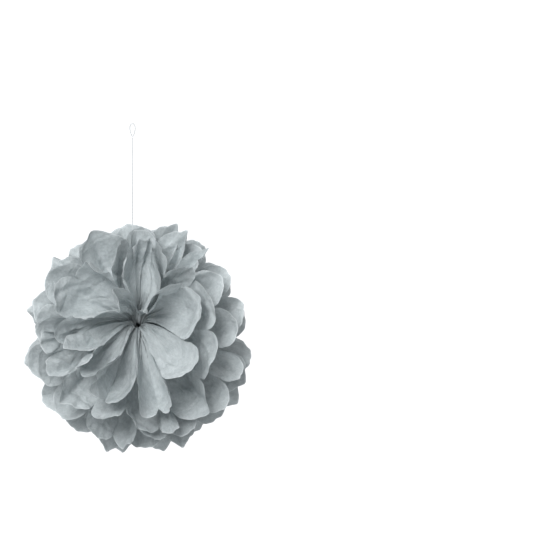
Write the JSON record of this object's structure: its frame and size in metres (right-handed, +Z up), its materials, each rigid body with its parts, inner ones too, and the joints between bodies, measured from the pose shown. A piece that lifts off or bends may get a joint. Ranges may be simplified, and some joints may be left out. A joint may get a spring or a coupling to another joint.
{
  "type": "tissue paper pom pom",
  "caption": "Round grey tissue paper pom pom with ruffled petals, hanging on a thin white thread that ends in a small tied loop.",
  "frame": {"origin": "the top inside of the thread's loop, where a hook or pin holds the pom pom up", "axes": "+Z up along the thread, -Y towards the front, +X to the right seen from the front"},
  "size_m": [0.2206, 0.2158, 0.3256],
  "materials": {
    "tissue_grey": "matte",
    "wire_steel": "satin",
    "thread_white": "matte"
  },
  "bodies": {
    "root": {"tissue_front_1": "tissue_grey", "tissue_front_2": "tissue_grey", "tissue_front_3": "tissue_grey", "tissue_front_4": "tissue_grey", "tissue_back_1": "tissue_grey", "tissue_back_2": "tissue_grey", "tissue_back_3": "tissue_grey", "tissue_back_4": "tissue_grey", "binding_wire": "wire_steel", "hanging_thread": "thread_white", "hanging_loop": "thread_white"}
  },
  "joints": []
}
